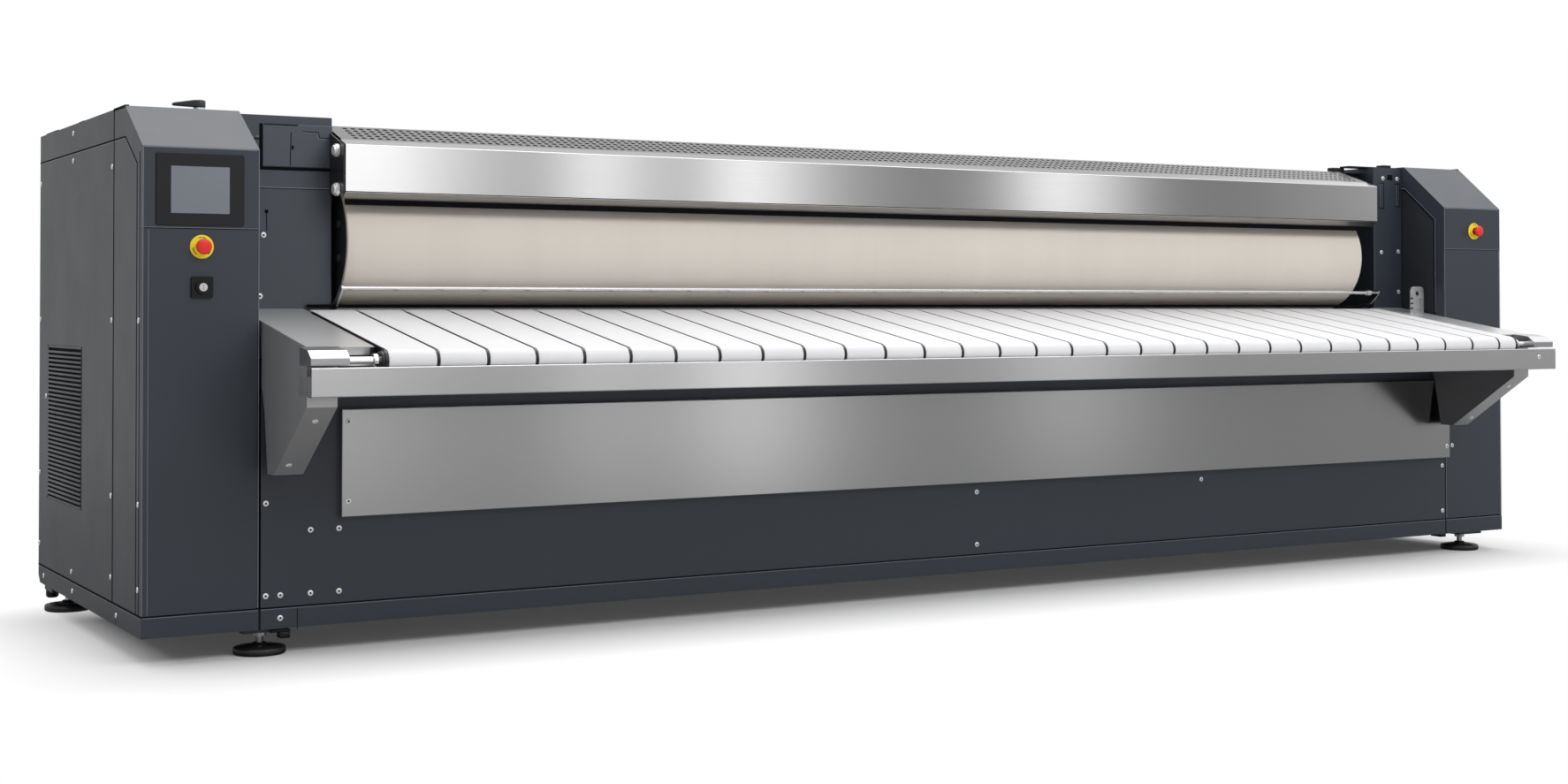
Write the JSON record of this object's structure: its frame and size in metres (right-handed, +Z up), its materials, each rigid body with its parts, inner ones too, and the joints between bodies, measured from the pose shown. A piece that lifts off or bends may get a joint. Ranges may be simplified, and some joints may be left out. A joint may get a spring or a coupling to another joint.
{
  "type": "flatwork ironer",
  "caption": "Long roll ironer with a fabric-covered roll, a belt feed table, two end cabinets and a control screen, for pressing flat linen.",
  "frame": {"origin": "middle of the machine's length and depth, on the floor", "axes": "+X along the machine from the control cabinet to the drive cabinet, +Y from the feeding side to the delivery side, +Z up"},
  "size_m": [4.317, 1.573, 1.265],
  "materials": {
    "cabinet_paint": "satin powder coat, fine texture",
    "structure_paint": "semi-gloss paint",
    "stainless": "long-grain brushed",
    "galvanised": "galvanised, faint spangle",
    "black_plastic": "satin moulded",
    "black_metal": "satin black",
    "bright_steel": "polished",
    "polished_steel": "polished along the linen's way",
    "roll_steel": "dark primer, machined journals",
    "heater_sheath": "heat-tinted",
    "roll_cloth": "woven heat-resistant cover",
    "belt_cloth": "tight woven cotton and polyester",
    "belt_rubber": "matte ribbed",
    "foot_rubber": "matte moulded",
    "cast": "painted casting",
    "screen_glass": "anti-glare",
    "yellow_plastic": "satin",
    "red_plastic": "satin"
  },
  "bodies": {
    "machine": {"base_frame": "cabinet_paint", "foot_pads": "foot_rubber", "foot_stems": "bright_steel", "side_plates": "structure_paint", "cabinet_front_left": "cabinet_paint", "cabinet_front_right": "cabinet_paint", "hood_left": "cabinet_paint", "hood_right": "cabinet_paint", "side_panels": "cabinet_paint", "vent_grille": "cabinet_paint", "back_panels": "cabinet_paint", "post_cover_left": "cabinet_paint", "post_cover_right": "cabinet_paint", "post_access_cover": "cabinet_paint", "lower_front_panel": "cabinet_paint", "apron_panel": "stainless", "rear_panel": "cabinet_paint", "top_cover": "cabinet_paint", "delivery_chute": "stainless", "bonnet": "stainless", "bonnet_grille": "stainless", "bonnet_end_plates": "black_metal", "bearings": "cast", "drive_belt": "belt_rubber", "gearmotor": "structure_paint", "feed_gearmotor": "structure_paint", "feed_belts": "belt_cloth", "table_frame": "stainless", "table_front_panel": "stainless", "table_side_covers": "stainless", "table_brackets": "stainless", "nose_caps": "stainless", "touchscreen_bezel": "black_plastic", "touchscreen_glass": "screen_glass", "estop_collars": "yellow_plastic", "key_switch_body": "black_plastic", "electrical_box": "structure_paint", "fan_housing": "galvanised", "fan_motor": "structure_paint", "exhaust_spigot": "galvanised", "small_brackets": "galvanised", "panel_screws": "bright_steel"},
    "roll": {"roll_tube": "roll_steel", "roll_cover": "roll_cloth", "roll_ends": "roll_steel", "roll_pulley": "black_metal"},
    "motor_shaft": {"motor_pulley": "black_metal"},
    "nose_roller": {"nose_roller": "bright_steel"},
    "feed_drive": {"feed_drive_roller": "bright_steel"},
    "guard": {"guard_bar": "bright_steel"},
    "fan": {"fan_wheel": "galvanised"},
    "estop_left_plunger": {"estop_stem_left": "red_plastic"},
    "estop_left_button": {"estop_head_left": "red_plastic"},
    "estop_right_plunger": {"estop_stem_right": "red_plastic"},
    "estop_right_button": {"estop_head_right": "red_plastic"},
    "key_rotor": {"key_switch_rotor": "bright_steel"},
    "damper": {"damper_lever": "black_metal"},
    "chest": {"chest_plate": "polished_steel", "chest_heaters": "heater_sheath", "chest_carrier": "structure_paint"}
  },
  "joints": [
    {"name": "roll_spin", "type": "hinge", "parent": "machine", "child": "roll", "pos_m": [0, -0.0995, 0.936], "axis": [1, 0, 0], "continuous": true},
    {"name": "motor_spin", "type": "hinge", "parent": "machine", "child": "motor_shaft", "pos_m": [2.04, -0.0995, 0.42], "axis": [1, 0, 0], "continuous": true},
    {"name": "nose_roller_spin", "type": "hinge", "parent": "machine", "child": "nose_roller", "pos_m": [0, -0.7455, 0.665], "axis": [1, 0, 0], "continuous": true},
    {"name": "feed_drive_spin", "type": "hinge", "parent": "machine", "child": "feed_drive", "pos_m": [0, -0.2315, 0.7402], "axis": [1, 0, 0], "continuous": true},
    {"name": "fan_spin", "type": "hinge", "parent": "machine", "child": "fan", "pos_m": [-1.981, 0.4265, 0.56], "axis": [1, 0, 0], "continuous": true},
    {"name": "guard_bar_tilt", "type": "hinge", "parent": "machine", "child": "guard", "pos_m": [0, -0.1835, 0.77], "axis": [1, 0, 0], "range_deg": [-4, 0]},
    {"name": "chest_open", "type": "hinge", "parent": "machine", "child": "chest", "pos_m": [0, -0.1735, 0.68], "axis": [-1, 0, 0], "range_deg": [0, 4]},
    {"name": "estop_left_push", "type": "slide", "parent": "machine", "child": "estop_left_plunger", "axis": [0, 1, 0], "range_m": [0, 0.006]},
    {"name": "estop_left_twist", "type": "hinge", "parent": "estop_left_plunger", "child": "estop_left_button", "pos_m": [-2.022, -0.3935, 0.912], "axis": [0, 1, 0], "range_deg": [0, 45], "stiffness_Nm_per_rad": 0.05},
    {"name": "estop_right_push", "type": "slide", "parent": "machine", "child": "estop_right_plunger", "axis": [0, 1, 0], "range_m": [0, 0.006]},
    {"name": "estop_right_twist", "type": "hinge", "parent": "estop_right_plunger", "child": "estop_right_button", "pos_m": [2.03, -0.3935, 1.02], "axis": [0, 1, 0], "range_deg": [0, 45], "stiffness_Nm_per_rad": 0.05},
    {"name": "key_switch_turn", "type": "hinge", "parent": "machine", "child": "key_rotor", "pos_m": [-2.022, -0.3735, 0.823], "axis": [0, 1, 0], "range_deg": [0, 90]},
    {"name": "damper_lever_turn", "type": "hinge", "parent": "machine", "child": "damper", "pos_m": [-1.95, -0.0735, 1.242], "axis": [0, 0, 1], "range_deg": [0, 90]}
  ],
  "couplings": [
    {"joint": "motor_spin", "follows": "roll_spin", "ratio": 2.6667},
    {"joint": "nose_roller_spin", "follows": "roll_spin", "ratio": -6.5524},
    {"joint": "feed_drive_spin", "follows": "roll_spin", "ratio": -4.9543}
  ]
}
